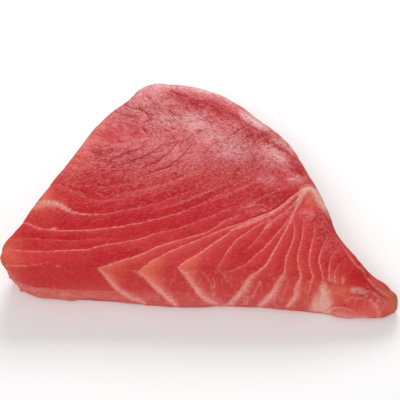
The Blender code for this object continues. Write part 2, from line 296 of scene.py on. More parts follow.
# The trough that runs inside the rolled rear edge, in the plan
TROUGH = (
    (-13, 50), (-3.5, 45), (2.5, 42.2), (8.4, 40), (13.8, 37), (18.6, 32.4), (24.5, 26.6), (30.5, 20.6),
    (37.8, 11), (43.6, 2),
)
TROUGH_HALF_WIDTH = 3.2

# The whorl where the fibres change their lean: the height of its middle line at a few stations along x
WHORL_LINE = ((-60, -44, -36, -19, -11, -3, 6, 14, 30, 46), (2, 5, 14, 18, 23, 26, 14, 7, 4, -4))
LEAN_ABOVE = -0.42
LEAN_BELOW = 0.36

# Soft spots of tint and texture: (x, y, reach along x, reach along y, amount). Red, sheen, rough, smooth
# and brown spots are places in the plan, not on the rolled-out surface.
WARM_SPOTS = (
    (-80, -42, 8, 12, 0.75), (-68, -10, 7, 12, 0.8), (-54, 10, 6, 12, 0.5), (-46, 26, 6, 10, 0.35),
    (-42, 15, 5, 4, 0.35), (82, -60, 8, 9, 0.8), (45.6, -13.4, 3.4, 4.6, 0.8), (54, -58, 8, 7, 0.8),
    (40, -62, 14, 9, 0.45), (70, -67, 12, 6, 0.5), (74, -50, 6, 5, 0.4), (-44, -66, 26, 7, 0.35),
    (62, -68, 10, 5, 0.4), (0, -66, 90, 16, 0.16),
)
# Pink bloom: partly the flesh's own paler tone, partly a painted sheen where the wet upper face catches the
# light
BLOOM_AND_SHEEN_SPOTS = (
    (-56, 10, 6, 10, 0.7), (-66, -10, 5, 8, 0.35), (-24, 50, 16, 6, 1), (34, 13, 11, 9, 1.4),
    (13, 19, 12, 9, 0.9), (40, -1, 5, 5, 0.3), (49, -24, 5, 9, 0.25), (44.6, -21.6, 3, 2.6, 0.7),
    (53, -36, 4, 7, 0.25), (28, -3, 5, 4, 0.55), (36, 8, 5, 6, 0.9), (24, -20, 10, 3, 0.3),
    (-46, 25, 6, 9, 0.5), (-30, -10.5, 12, 3, 0.12), (20, -16, 12, 4, 0.15), (-40, -69, 30, 4, 0.25),
    (62, -71, 12, 4, 0.5), (-84, -58, 8, 8, 0.4), (72, -64, 5, 8, 0.3),
)
RED_SPOTS = (
    (-39, 23.5, 8, 5.5, 0.95), (-29, 24.5, 6, 4.5, 0.75), (-44, 14, 5, 4.5, 0.55), (-28, 13, 14, 5, 0.3),
    (42.5, 5, 2.2, 8, 0.8), (24, -3, 9, 4, 0.3), (-47, -7.6, 6, 3.5, 0.5), (-36, -8, 7, 3, 0.4),
    (-52, 8, 5, 8, 0.5), (-60, -4, 5, 8, 0.6), (-14, 22, 5, 3, 0.35), (1, 40, 8, 4, 0.45),
    (8, 34, 7, 4, 0.45), (15, 29, 6, 4, 0.45), (22, 23.5, 6, 3.5, 0.6),
)
GLOW_SPOTS = (
    (-34.5, -51.5, 7, 8, 0.8), (-19.5, -53, 8, 9, 1), (-4.5, -51, 6, 8, 0.75), (20, -60, 40, 14, 0.5),
)
TAIL_RED = (63, -48.5, 5, 4.5, 1.2)
DEEP_SPOTS = (
    (-30, -25, 34, 10, 1), (-5, -18, 24, 9, 0.9), (-58, -34, 20, 7, 0.7), (18, -41, 12, 8, 0.8),
    TAIL_RED, (-62, -22, 9, 5, 0.5), (30, -33, 8, 9, 0.4), (-50, -54, 24, 8, 0.5), (20, -8, 12, 6, 0.45),
    (34, -24, 8, 6, 0.3), (-37, 22, 9, 4, 0.6), (54, -43, 6, 6, 0.4), (48, -25, 4, 7, 0.35),
    (-8, -28, 20, 7, 0.8), (-4, -16, 44, 11, 0.8), (-40, -42, 26, 7, 0.7), (-48, -8, 6, 4, 0.6),
    (-43, 13, 4, 4, 0.1), (70, -50, 4, 3, 0.5),
)
# The sheen spots set the real gloss and also lay a painted sheen in the skin's whitish colour
SHEEN_SPOTS = (
    (-3, 31, 7, 6.5, 1), (-26, 45, 15, 10, 0.6), (4, 26, 6, 5, 0.8), (6, 22, 8, 5, 0.8),
    (14, 14, 12, 8, 0.7), (35, 12, 5, 7, 1), (-14, 33, 9, 7, 0.7), (-10, 12, 22, 9, 0.4),
    (24, 34, 10, 7, 1), (37, 18, 6, 6, 1), (6, 52, 14, 5, 0.9), (40, -2, 4, 3, 0.7), (29, 14, 8, 8, 0.6),
    (-20, 52, 8, 5, 0.8), (67, -57, 5, 3, 0.3), (28, -2, 5, 3, 0.5), (-60, -15, 4, 2, 0.4),
)
ROUGH_SPOTS = (
    (-12, 32, 36, 24, 1), (20, 16, 30, 24, 1), (-34, 12, 24, 16, 0.8), (30, -12, 18, 8, 0.6),
    (50, -26, 6, 13, 0.55), (44.6, -21.6, 3, 2.6, 0.5), (53, -36, 4, 7, 0.4), (0, -4, 34, 7, 0.3),
    (69, -57, 5, 4, 0.8), (62, -55, 3, 2, 0.8), (-62, -15, 7, 2.5, 0.6), (30, -64, 40, 8, 0.35),
    (58, -62, 10, 6, 0.4),
)
SMOOTH_SPOTS = (
    (-2, 31, 6.5, 6, 0.4), (-37, 23, 8, 4.5, 0.85), (-29, 24.5, 6, 4, 0.6), (35.5, 12.5, 3.5, 4, 0.6),
    (-62, -6, 6, 10, 0.6), (-50, 18, 5, 10, 0.5), (-8, 12, 5, 4, 0.3),
)

# Outward swellings and bumps, and dents below nought: (x, y, reach along x, reach along y, height)
SWELLINGS = (
    (57, -70.5, 8, 4.5, 1), (72, -66, 7, 7, 0.6), (62.4, -55.2, 3.2, 1.8, 0.25),
    (-53.5, -71.5, 3.4, 2.6, 1.2), (46, -9.5, 5, 4, 0.5), (-68, -30, 8, 12, 0.3), (-2, 61, 12, 7, 0.3),
    (-90, -60, 7, 7, 0.3), (-86, -54, 4, 8, -0.7), (-43, -70, 7, 4, -0.8), (47.4, -72.5, 4, 4, -1),
    (77, -50.5, 6, 4, -2), (70, -46, 6, 4, -0.9), (27, 36, 10, 8, -0.7), (84, -57, 3, 3, -1.2),
    (-42.4, 16.8, 1.3, 1, 0.5), (-40.6, 13.8, 1.4, 1, 0.5), (-38.2, 15.8, 1.2, 1, 0.4),
    (62.6, -38.6, 2, 2.2, 0.5), (65.4, -44.6, 2, 2, 0.5), (73.4, -51.2, 3, 2, 0.5),
    (64.6, -41.8, 0.9, 0.9, -0.9), (67.6, -47.2, 0.9, 0.9, -0.9), (76.6, -53, 1, 1, -0.8),
    (82.4, -66, 1.4, 1.4, -0.8), (-87.4, -50.4, 1.6, 1.6, 0.7), (-88.6, -54.6, 1.6, 1.6, -0.8),
    (-82.6, -61.8, 1.8, 1.8, 0.6), (-79.4, -64.6, 1.6, 1.6, -0.6),
)

# The dried, browned ends
BROWN_SPOTS = (
    (80.5, -54, 4, 5, 0.8), (76, -53, 4.5, 2.5, 0.4), (-80.5, -42, 2.5, 4, 0.08),
)

# Small creases strewn over the upper face: (x, y, reach along x, reach along y, direction, how many)
CREASE_FIELDS = (
    (-22, 41, 18, 12, -0.45, 64), (-4, 42, 12, 9, -0.35, 22), (-2, 27, 16, 8, -0.3, 28),
    (22, 18, 14, 12, 0.5, 44), (10, 35, 16, 8, -0.5, 40), (37, 6, 7, 12, -0.9, 26),
    (-38, 10, 12, 11, 0.1, 50), (-46, -2, 12, 6, -0.1, 22), (-14, 10, 16, 8, 0.6, 24),
    (6, 10, 26, 8, 0.5, 30), (28, -4, 14, 8, 0.45, 16), (-44, 30, 8, 9, -0.3, 10),
    (68, -56, 4, 3, 0.2, 4),
)

# How the creases are strewn: the seed, the scatter of their direction, their bend as a share of half their
# length, and the bounds of half length, depth, half width and the darkness of their painted shade
CREASE_SEED = 11
CREASE_TURN = 0.3
CREASE_BEND = 0.4
CREASE_HALF_LENGTH = (0.6, 2.3)
CREASE_DEPTH = (0.06, 0.20)
CREASE_HALF_WIDTH = (0.20, 0.34)
CREASE_DARKNESS = (0.40, 0.90)

# Where the front wall's seams start on the underside. Their slant down the wall shifts their course there,
# by a share of it at the first point, by a step less at each next one, and by a step at least.
FOOT_EDGE = -56.0
FOOT_SHARE = 0.8
FOOT_SHARE_STEP = 0.2

# How far a seam is felt, how finely curves are sampled, how many places are looked at together, and how far
# strokes, cracks and steps are felt
REACH = 14.0
CURVE_SAMPLES = 16
CURVE_STEP = 0.4
BLOCK = 20000
STROKE_REACH = 6.0
CRACK_REACH = 3.0
STEP_REACH = 8.0

# How far a seam's offset is told, how far past its ends its glow and its line last, and over what share of
# half the gap to its neighbour the line fades out
OFFSET_LIMIT = 4.0
GLOW_END = 2.5
LINE_END = 1.2
CLEAR_GAP = 0.45

# The pale stripe along a seam's wall: its reach left of the seam, its least reach right of it, how much its
# width adds there, how sharply it ends left and right, and how much of it is palest
STRIPE_LEFT = 0.35
STRIPE_LEAST = 0.4
STRIPE_SPREAD = 1.1
STRIPE_ENDS = (2.6, 1.7)
STRIPE_PALE = 0.45

# The dull strip along the foot, at stations along x: how far below the rim it starts, how softly and how
# strongly
STRIP_TOP = ((-80.0, -64.0, -56.0), (9.5, 11.0, 12.6))
STRIP_SOFTNESS = ((-36.0, -10.0), (0.55, 4.0))
STRIP_STRENGTH = ((-90, -46, -36, -8, 24, 44), (1.0, 0.9, 0.55, 0.5, 0.45, 0.4))

# The fibre streaks: how many samples are drawn together, how far along the fibres, and how wide they are
STREAK_SAMPLES = 7
STREAK_REACH = 1.5
STREAK_WIDTH = 1.15

# Sizes in the material: how fine the grain and the film of moisture are, how deep both are, in metres, and
# the step that tells the two sides of a ridge apart, for the painted light and shade on them
GRAIN_SCALE = 420.0
FILM_SCALE = 1100.0
GRAIN_DEPTH = 0.0022
FILM_DEPTH = 0.0016
RIDGE_STEP = 0.00035

# Layers of colour from the lowest up: the field stored for each, the grain that breaks it up, where that
# grain starts and ends, the strengths it gives there, and the colour. The sheen layer is a painted sheen,
# and the skin and fat layers hold painted highlights among their real skin and fat.
LAYERS = (
    ("strip", "Coarse", (0.35, 0.65, 0.45, 1.0), "foot"),
    ("sheen", "Fine", (0.35, 0.65, 0.26, 0.44), "skin"),
    ("tissue", "Fine", (0.35, 0.60, 0.55, 1.1), "band"),
    ("skin", "Fine", (0.32, 0.62, 0.35, 1.15), "skin"),
    ("fat_and_highlight", "Fine", (0.25, 0.65, 0.70, 1.05), "fat_and_highlight"),
)

# Soft lights: name, place, aim, width, depth, power, and whether it is only there to be reflected
LIGHTS = (
    ("key", (-0.30, -0.92, 1.0), (0.0, 0.0, 0.015), 1.0, 0.8, 10.0, False),
    ("rear", (0.04, 0.46, 0.42), (0.0, 0.02, 0.02), 0.30, 0.25, 2.45, False),
    ("back_card", (0.02, 0.48, 0.53), (0.01, 0.03, 0.02), 0.36, 0.20, 1.7, True),
    ("low_card", (0.38, 1.05, 0.30), (0.0, 0.0, 0.015), 0.9, 0.30, 6.0, True),
)
WORLD_LIGHT = 0.42
CAMERA_AIM = (0.0, -0.0036, 0.0106)
SENSOR_WIDTH = 36.0
FLOOR_DROP = 0.00005


def colour(name, description, value):
    return FloatVectorProperty(name=name, description=description, subtype="COLOR", size=3, default=value)


class SteakSizes(bpy.types.PropertyGroup):
    """Sizes of the flesh's relief."""

    mesh_step: FloatProperty(
        name="Mesh Step", description="Edge length of the fine surface", default=0.000605, unit="LENGTH")
    smoothing: IntProperty(
        name="Smoothing", description="Smoothing passes over the fine surface", default=12)
    seam_depth: FloatProperty(
        name="Seam Depth", description="How deep a seam lies between two flakes, in mm", default=0.10)
    flake_crown: FloatProperty(
        name="Flake Crown", description="How far each flake swells between its seams, in mm", default=0.22)
    grain_height: FloatProperty(
        name="Grain Height", description="Height of the fibre grain on the upper face, in mm", default=0.34)
    trough_depth: FloatProperty(
        name="Trough Depth", description="Depth of the trough inside the rolled rear edge, in mm",
        default=0.8)


class SteakColours(bpy.types.PropertyGroup):
    """Colours of the flesh, as linear values."""

    deep: colour("Deep Red", "Middle of the flakes", (0.425, 0.006, 0.014))
    flesh: colour("Flesh", "Ordinary muscle", (0.53, 0.034, 0.037))
    warm: colour("Warm Flesh", "Thin edges and the side of a flake next to its seam", (0.68, 0.140, 0.085))
    # Pink bloom: partly the upper face's own paler tone, partly a painted sheen and the lit side of the
    # painted relief
    pink_and_sheen: colour("Pink Bloom", "The cloudy bloom on the rough upper face", (0.98, 0.36, 0.37))
    # Whitish skin, also the colour of the painted sheen and of the painted highlights on the rear rim and
    # crack lips
    skin: colour("Skin", "The whitish skin along the rear rim", (0.88, 0.53, 0.54))
    seam: colour("Seam", "Connective tissue between flakes", (0.74, 0.20, 0.165))
    foot: colour("Foot", "The dull strip along the foot", (0.65, 0.180, 0.158))
    band: colour("Tissue", "Pink tissue beside the seams", (0.78, 0.31, 0.27))
    # Broad pale fat, also used for a painted highlight on the tail
    fat_and_highlight: colour("Fat", "Broad pale fat", (0.78, 0.42, 0.34))
    # Painted shade for cracks, pits, creases, flake edges, the shaded side of the relief and the foot's
    # contact shadow
    crease_shade: colour("Crease", "The bottom of the cracks", (0.41, 0.003, 0.007))
    brown: colour("Dried Flesh", "The browned end of the tail", (0.50, 0.16, 0.075))


class StageSizes(bpy.types.PropertyGroup):
    """The camera, lights and floor."""

    elevation: FloatProperty(
        name="Camera Elevation", description="Angle above the floor", default=math.radians(50),
        subtype="ANGLE")
    distance: FloatProperty(
        name="Camera Distance", description="From the steak", default=0.477, unit="LENGTH")
    lens: FloatProperty(name="Lens", description="Focal length in mm", default=100.0)
    floor_colour: colour("Floor", "Colour of the floor", (0.90, 0.90, 0.90))
    floor_size: FloatProperty(
        name="Floor Size", description="Width of the floor", default=8.0, unit="LENGTH")


def smooth_step(low, high, value):
    share = np.clip((value - low) / (high - low), 0.0, 1.0)
    return share * share * (3.0 - 2.0 * share)


def evenly(points, step, closed=False):
    """Points at even steps along a line; a closed one is given with its first point again at its end."""
    run = np.concatenate([[0.0], np.cumsum(np.hypot(*np.diff(points, axis=0).T))])
    count = int(run[-1] / step) if closed else max(3, int(run[-1] / step) + 1)
    even = np.linspace(0.0, run[-1], count, endpoint=not closed)
    return np.column_stack([np.interp(even, run, points[:, axis]) for axis in (0, 1)])


def smooth_curve(points):
    """Evenly spaced points on a smooth curve through the given ones."""
    anchors = np.array(points, float)
    padded = np.vstack([2 * anchors[0] - anchors[1], anchors, 2 * anchors[-1] - anchors[-2]])
    share = np.linspace(0.0, 1.0, CURVE_SAMPLES + 1)[:-1, None]
    dense = []
    for before, start, end, after in zip(padded, padded[1:], padded[2:], padded[3:]):
        slope_start = (end - before) / 2
        slope_end = (after - start) / 2
        dense.append(
            (2 * share**3 - 3 * share**2 + 1) * start
            + (share**3 - 2 * share**2 + share) * slope_start
            + (3 * share**2 - 2 * share**3) * end
            + (share**3 - share**2) * slope_end
        )
    return evenly(np.vstack(dense + [anchors[-1:]]), CURVE_STEP)


def unit(vectors):
    return vectors / np.maximum(np.hypot(*vectors.T), 1e-9)[:, None]


class Line:
    """A line through the given points, with its direction and its right side at each of them.

    It may be made of two parts that meet at a corner; corner is then the share of the line before it.
    """

    def __init__(self, *parts):
        curves = [smooth_curve(part) for part in parts]
        self.points = np.vstack([curves[0]] + [curve[1:] for curve in curves[1:]])
        self.corner = (len(curves[0]) - 1) / (len(self.points) - 1) if len(curves) > 1 else 0.0
        along = unit(np.diff(self.points, axis=0))
        along = unit(np.vstack([along[:1], along[:-1] + along[1:], along[-1:]]))
        self.along = along
        self.right = np.column_stack([along[:, 1], -along[:, 0]])

    def near(self, places, reach=REACH):
        """The places near the line, and for each: its share along it, signed offset and run past an end."""
        low = self.points.min(0) - reach
        high = self.points.max(0) + reach
        chosen = np.flatnonzero(np.all((places > low) & (places < high), axis=1))
        index = np.empty(len(chosen), int)
        for start in range(0, len(chosen), BLOCK):
            block = places[chosen[start:start + BLOCK]]
            gap = (block[:, None, 0] - self.points[None, :, 0]) ** 2
            gap += (block[:, None, 1] - self.points[None, :, 1]) ** 2
            index[start:start + BLOCK] = gap.argmin(1)
        apart = places[chosen] - self.points[index]
        straight = np.hypot(*apart.T)
        across = np.sum(apart * self.right[index], axis=1)
        along = np.sum(apart * self.along[index], axis=1)
        side = np.where(across < 0.0, -1.0, 1.0)
        offset = np.where(np.abs(along) < CURVE_STEP, across, side * straight)
        last = len(self.points) - 1
        past = np.where(index == 0, -along, np.where(index == last, along, 0.0))
        keep = straight < reach
        return chosen[keep], (index / last)[keep], offset[keep], np.maximum(past, 0.0)[keep]


def at_shares(values, shares):
    """Values spread evenly along a line, or a single one for all of it, read at shares of its length."""
    values = np.atleast_1d(values)
    return np.interp(shares, np.linspace(0.0, 1.0, len(values)), values)


class Outline:
    """The plan outline halfway up, as even stations with outward directions and the rim's height."""

    STATION_STEP = 0.7
    DIRECTION_SPAN = 4
    RIM_INSET = 5.0
    RIM_DROP = 0.6
    FOOT_BELOW = 1.0

    def __init__(self, node):
        form = bmesh.new()
        form.from_mesh(node.data)
        surface = BVHTree.FromBMesh(form)
        middle = (LOW + HIGH) / 2
        bmesh.ops.remove_doubles(form, verts=form.verts, dist=WELD)
        bmesh.ops.bisect_plane(
            form, geom=form.verts[:] + form.edges[:] + form.faces[:], plane_co=middle, plane_no=(0, 0, 1),
            clear_inner=True, clear_outer=True)
        edge = form.edges[:][0]
        corner = edge.verts[0]
        loop = []
        while len(loop) < len(form.verts):
            loop.append(corner.co.xy / MM)
            corner = edge.other_vert(corner)
            edge = next(other for other in corner.link_edges if other is not edge)
        form.free()
        closed = np.array(loop + loop[:1])
        turn = np.sum(closed[:-1, 0] * closed[1:, 1] - closed[1:, 0] * closed[:-1, 1])
        if turn < 0:
            closed = closed[::-1]
        self.points = evenly(closed, self.STATION_STEP, closed=True)
        span = self.DIRECTION_SPAN
        self.along = unit(np.roll(self.points, -span, 0) - np.roll(self.points, span, 0))
        self.outward = np.column_stack([self.along[:, 1], -self.along[:, 0]])
        inner = (self.points - self.RIM_INSET * self.outward) * MM
        down = Vector((0, 0, -1))
        hits = [surface.ray_cast(Vector((x, y, 2 * HIGH.z)), down)[0] for x, y in inner]
        self.rim = np.array([hit.z / MM for hit in hits]) - self.RIM_DROP
        self.tree = KDTree(len(self.points))
        for index, (x, y) in enumerate(self.points):
            self.tree.insert((x, y, 0.0), index)
        self.tree.balance()

    def nearest(self, places):
        return np.array([self.tree.find((x, y, 0.0))[1] for x, y in places])

    def rear_seams(self):
        """Faint seams that cross the rear edge, from the foot of the wall to a little inside the rim.

        Their spacing and their slant vary a little from one to the next.
        """
        first, last = self.nearest([REAR_FROM, REAR_TO])
        step = round(REAR_SPACING / self.STATION_STEP)
        for number, even in enumerate(range(first, last, step)):
            index = even + round(4.0 * math.sin(1.9 * number))
            spot, out, along = self.points[index], self.outward[index], self.along[index]
            foot = self.rim[index] + self.FOOT_BELOW
            sway = REAR_SLANT * (0.7 + 0.5 * math.sin(2.3 * number))
            wall = [
                spot + out * foot * share - along * sway * (1 - (1 - share) ** 2)
                for share in (1.0, 0.6, 0.25)]
            upper = [
                spot - out * REAR_REACH * share - along * sway * share
                for share in (0.3, 0.65, 1.0)]
            yield Seam(
                (0.40, 0.30, 0.25), (0.75, 0.6, 0.0), 0.3, (0.9, 0.5),
                tuple(map(tuple, wall + [spot])), tuple(map(tuple, upper)), tuple(-along * sway))


def noise_field(places, size, seed):
    """Smooth noise from -1 to 1 with features of about the given size in millimetres."""
    shift = Vector((seed * 17.3, seed * 5.1, seed * 9.7))
    return np.array([noise.noise(Vector(place) / size + shift) for place in places])


def fractal_field(places, size, octaves, seed):
    """Like noise_field, with finer noise laid over the broad."""
    shift = Vector((seed * 13.1, seed * 3.7, seed * 7.9))
    return np.array([noise.fractal(Vector(place) / size + shift, 0.8, 2.0, octaves) for place in places])


def spots_field(places, spots, join=np.maximum):
    """Soft elliptical spots at each place: the strongest of them, or what join makes of them."""
    total = np.zeros(len(places))
    for x, y, reach_x, reach_y, amount in spots:
        away = ((places[:, 0] - x) / reach_x) ** 2 + ((places[:, 1] - y) / reach_y) ** 2
        total = join(total, amount * np.exp(-away))
    return total


def underside_line(seam):
    """A seam's course on the underside: from the foot of its wall it closes in on the upper course."""
    if not seam.wall:
        return Line(seam.upper)
    if seam.shift:
        line = Line(seam.wall[-1:] + seam.upper)
        line.points = line.points + np.array(seam.shift)
        return line
    foot = seam.wall[0][0] - seam.wall[-1][0]
    course = [
        (x + foot * max(FOOT_SHARE_STEP, FOOT_SHARE - FOOT_SHARE_STEP * index), y)
        for index, (x, y) in enumerate(seam.upper)]
    return Line([(seam.wall[0][0], FOOT_EDGE)] + course)


def pale_stripe(band, offset, wall_share):
    """The strength of the stripe of fat beside a seam; wall_share is 0 at the rim and 1 at the foot."""
    width, amount = band
    swell = 2.0 * wall_share * (1.0 - wall_share) + 0.5 * wall_share ** 0.5
    reach = STRIPE_LEAST + STRIPE_SPREAD * width * swell
    left = offset < 0.0
    away = np.where(left, -offset / STRIPE_LEFT, offset / reach)
    fading = np.where(left, *STRIPE_ENDS)
    return amount * (0.5 + 0.5 * wall_share ** 0.7) * np.exp(-away ** fading) * (wall_share > 0)


def seam_fields(places, seams, under=False):
    """What the seams do at each place.

    Of the nearest seam: offset, half_width and strength. Of the flake there: after, how far it is to the
    seam on its left; share, how much of its width that is; crown, how far it is to the nearer side; glow,
    the warmth that its left seam gives it. Of the stripes of fat: band, and pale for the palest.
    """
    count = len(places)
    offset_at = np.full(count, OFFSET_LIMIT)
    half_width = np.full(count, 0.3)
    strength, glow, band, pale = np.zeros((4, count))
    after, before, nearest = np.full((3, count), REACH)
    for seam in seams:
        has_wall = bool(seam.wall) and not under
        line = Line(seam.wall, seam.wall[-1:] + seam.upper) if has_wall else underside_line(seam)
        chosen, share, offset, past = line.near(places)
        fade = np.clip(1.0 - past / GLOW_END, 0.0, 1.0)
        right = offset >= 0.0
        closer = right & (offset < after[chosen])
        after[chosen[closer]] = offset[closer]
        glows = seam.glow * fade * np.interp(share, (line.corner, line.corner + 0.3, 1.0), (1.0, 0.45, 0.1))
        glow[chosen[closer]] = glows[closer]
        if seam.band and has_wall:
            wall_share = np.clip(1.0 - share / max(line.corner, 0.01), 0.0, 1.0)
            stripe = pale_stripe(seam.band, offset, wall_share) * fade
            band[chosen] = np.maximum(band[chosen], stripe)
            palest = STRIPE_PALE * stripe * smooth_step(0.0, 0.8, wall_share)
            pale[chosen] = np.maximum(pale[chosen], palest)
        closer = ~right & (-offset < before[chosen])
        before[chosen[closer]] = -offset[closer]
        better = np.abs(offset) < nearest[chosen]
        chosen, share, offset, past = chosen[better], share[better], offset[better], past[better]
        nearest[chosen] = np.abs(offset)
        offset_at[chosen] = offset
        half_width[chosen] = at_shares(seam.widths, share)
        strength[chosen] = at_shares(seam.strengths, share) * np.clip(1.0 - past / LINE_END, 0.0, 1.0)
    half_gap = (after + before) / 2
    clear = np.clip((half_gap - nearest) / np.minimum(1.0, CLEAR_GAP * half_gap), 0.0, 1.0)
    return {
        "offset": np.clip(offset_at, -OFFSET_LIMIT, OFFSET_LIMIT),
        "half_width": half_width,
        "strength": strength * clear,
        "glow": glow,
        "band": band,
        "pale": pale,
        "after": after,
        "share": after / (after + before),
        "crown": np.minimum(after, before),
    }


def stroke_field(places, strokes):
    """The strongest of several soft strokes at each place."""
    total = np.zeros(len(places))
    for points, half_widths, strengths in strokes:
        chosen, share, offset, past = Line(points).near(places, STROKE_REACH)
        away = np.hypot(offset, past) / at_shares(half_widths, share)
        value = at_shares(strengths, share) * (1.0 - smooth_step(0.3, 1.4, away))
        total[chosen] = np.maximum(total[chosen], value)
    return total


def strewn_creases():
    """Short creases scattered over the rough parts of the upper face."""
    draw = random.Random(CREASE_SEED)
    for x, y, reach_x, reach_y, direction, count in CREASE_FIELDS:
        for _crease in range(count):
            spot = np.array((draw.gauss(x, reach_x / 2), draw.gauss(y, reach_y / 2)))
            turn = direction + draw.gauss(0.0, CREASE_TURN)
            half = draw.uniform(*CREASE_HALF_LENGTH) * np.array((math.cos(turn), math.sin(turn)))
            bend = draw.uniform(-CREASE_BEND, CREASE_BEND) * np.array((-half[1], half[0]))
            points = (tuple(spot - half), tuple(spot + bend), tuple(spot + half))
            sizes = [draw.uniform(*span) for span in (CREASE_DEPTH, CREASE_HALF_WIDTH, CREASE_DARKNESS)]
            yield points, *sizes


class Cuts:
    """The nearest crack or step at each place: its relative offset, the darkness of the painted shade along
    it, and all their depths.

    A relative offset is told in half widths. The darkness is whole up to CLEAR of them and nought from
    GONE on.
    """

    CLEAR = 2.0
    GONE = 4.5

    # In millimetres: how much wider a crack is cut than its line is drawn; half the width of a step's fall,
    # and how far on its lower side rises again; where its line of painted shade lies, and half the width of
    # that line
    CRACK_SHOULDER = 0.15
    STEP_WIDTH = 0.35
    STEP_LENGTH = 2.4
    STEP_LINE = 0.1
    STEP_LINE_HALF_WIDTH = 0.42

    def __init__(self, count):
        self.offset = np.full(count, self.GONE)
        self.painted_shade = np.zeros(count)
        self.depth = np.zeros(count)

    def mark(self, chosen, offset, darkness):
        """Keeps the given relative offsets where they are nearer than what is there."""
        away = np.abs(offset)
        nearer = away < np.abs(self.offset[chosen])
        self.offset[chosen[nearer]] = offset[nearer]
        clear = 1.0 - smooth_step(self.CLEAR, self.GONE, away)
        self.painted_shade[chosen[nearer]] = (darkness * clear)[nearer]

    def cut_cracks(self, places, cracks):
        for points, deepest, half_width, darkness in cracks:
            chosen, share, offset, past = Line(points).near(places, CRACK_REACH)
            ends = np.sin(np.pi * np.clip(share, 0.04, 0.96)) ** 0.5 * np.clip(1.0 - past / 0.6, 0.0, 1.0)
            value = deepest * ends * np.exp(-(offset / (half_width + self.CRACK_SHOULDER)) ** 2)
            self.depth[chosen] = np.maximum(self.depth[chosen], value)
            # The crack's line is darkened as painted shade
            self.mark(chosen, offset / half_width, darkness * ends)

    def cut_steps(self, places, steps):
        for points, height, darkness in steps:
            chosen, share, offset, past = Line(points).near(places, STEP_REACH)
            ends = np.sin(np.pi * np.clip(share, 0.02, 0.98)) ** 0.6 * np.clip(1.0 - past, 0.0, 1.0)
            fall = smooth_step(-self.STEP_WIDTH, self.STEP_WIDTH, offset)
            fall = fall * np.exp(-np.maximum(offset, 0.0) / self.STEP_LENGTH)
            self.depth[chosen] += height * ends * fall
            relative = (offset - self.STEP_LINE) / self.STEP_LINE_HALF_WIDTH
            # A line of painted shade along the foot of the step's fall
            self.mark(chosen, relative, 0.8 * darkness * ends * smooth_step(0.10, 0.50, share))


def fibre_streaks(places, lean):
    """Noise drawn out along the fibres, about -1 to 1: lean is the fibres' direction at each place."""
    along = np.column_stack([np.cos(lean), np.sin(lean), np.zeros(len(lean))])
    steps = np.linspace(-1.0, 1.0, STREAK_SAMPLES) * STREAK_REACH
    total = sum(noise_field(places + along * step, STREAK_WIDTH, 9) for step in steps)
    return np.clip(total * 2.2 / STREAK_SAMPLES, -1.0, 1.0)


@contextmanager
def opened(mesh):
    """The mesh as a form that operators can work on; it is written back at the end."""
    form = bmesh.new()
    form.from_mesh(mesh)
    yield form
    form.to_mesh(mesh)
    form.free()


def fine_piece(node, step, passes):
    """A copy of the node, merged and remade as an even, finer and smoother surface."""
    mesh = node.data.copy()
    with opened(mesh) as form:
        bmesh.ops.remove_doubles(form, verts=form.verts, dist=WELD)
    rough = bpy.data.objects.new("rough", mesh)
    bpy.context.scene.collection.objects.link(rough)
    remesh = rough.modifiers.new("even", "REMESH")
    remesh.mode = "VOXEL"
    remesh.voxel_size = step
    bpy.context.view_layer.update()
    evaluated = rough.evaluated_get(bpy.context.evaluated_depsgraph_get())
    fine = bpy.data.meshes.new_from_object(evaluated)
    bpy.data.objects.remove(rough, do_unlink=True)
    with opened(fine) as form:
        for _pass in range(passes):
            bmesh.ops.smooth_vert(
                form, verts=form.verts, factor=SMOOTH_FACTOR, use_axis_x=True, use_axis_y=True,
                use_axis_z=True)
    fine.materials.clear()
    piece = bpy.data.objects.new("tuna_flesh", fine)
    bpy.context.scene.collection.objects.link(piece)
    return piece


def read_vectors(items, name):
    values = np.empty(len(items) * 3, np.float32)
    items.foreach_get(name, values)
    return values.reshape(-1, 3).astype(float)


def store(mesh, name, values):
    attribute = mesh.attributes.new(name, "FLOAT", "POINT")
    attribute.data.foreach_set("value", np.asarray(values, np.float32))


